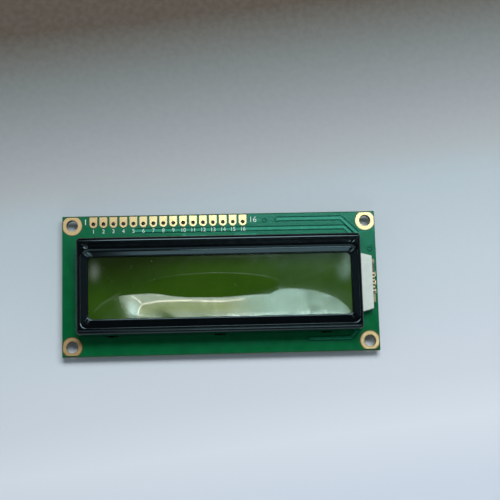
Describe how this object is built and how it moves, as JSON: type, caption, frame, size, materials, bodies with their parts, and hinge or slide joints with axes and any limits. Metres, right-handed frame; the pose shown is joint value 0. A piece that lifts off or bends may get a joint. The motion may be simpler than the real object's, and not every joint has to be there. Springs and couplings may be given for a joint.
{
  "type": "character lcd module",
  "caption": "Flat display module: a long window in a black pressed bezel on a green circuit board, with corner mounting holes and a row of header holes.",
  "frame": {"origin": "centre of the four mounting holes on the board's front face", "axes": "+X along the board, +Y towards the header row, +Z out of the display's face"},
  "size_m": [0.08, 0.036, 0.0104],
  "materials": {
    "solder_mask": "glossy green solder mask over glass-fibre board, bare laminate at the edges",
    "plated_copper": "thin gold plating on copper",
    "finger_plating": "thin gold plating on copper",
    "tinned_pad": "tinned copper, satin",
    "bezel_paint": "black semi-gloss enamel on pressed steel",
    "film": "thin clear glossy film, lifted in places",
    "front_polariser": "dark neutral green polariser",
    "front_glass": "clear glass with polished faces",
    "rear_glass": "clear glass with polished faces",
    "cell_seal": "cured dark epoxy",
    "port_plug": "cured amber resin",
    "rear_polariser": "yellow-green polariser with transflector",
    "elastomer_strip": "layered silicone rubber",
    "diffuser": "matt white diffuser sheet",
    "light_guide": "clear polished acrylic plate",
    "reflector": "matt white reflector sheet",
    "housing": "white moulded plastic, satin",
    "led_board": "brown bare laminate",
    "led_package": "white package with yellow phosphor face",
    "solder": "bright solder",
    "epoxy_cap": "black epoxy, semi-matt and slightly uneven",
    "resistor_ceramic": "ceramic with a black glassy coat",
    "capacitor_ceramic": "tan ceramic",
    "end_cap": "tinned end caps, satin"
  },
  "bodies": {
    "root": {"pcb": "solder_mask", "mounting_hole_plating": "plated_copper", "header_hole_plating": "plated_copper", "contact_fingers": "finger_plating", "component_pads": "tinned_pad", "bezel": "bezel_paint", "protective_film": "film", "front_polariser": "front_polariser", "front_glass": "front_glass", "cell_seal": "cell_seal", "fill_port_plug": "port_plug", "rear_glass": "rear_glass", "rear_polariser": "rear_polariser", "upper_connector_strip": "elastomer_strip", "lower_connector_strip": "elastomer_strip", "diffuser_sheet": "diffuser", "light_guide": "light_guide", "reflector_sheet": "reflector", "backlight_housing": "housing", "led_board": "led_board", "led_chips": "led_package", "led_board_joints": "solder", "controller_cap": "epoxy_cap", "driver_cap": "epoxy_cap", "resistor_bodies": "resistor_ceramic", "resistor_end_caps": "end_cap", "capacitor_bodies": "capacitor_ceramic", "capacitor_end_caps": "end_cap", "component_solder": "solder"}
  },
  "joints": []
}
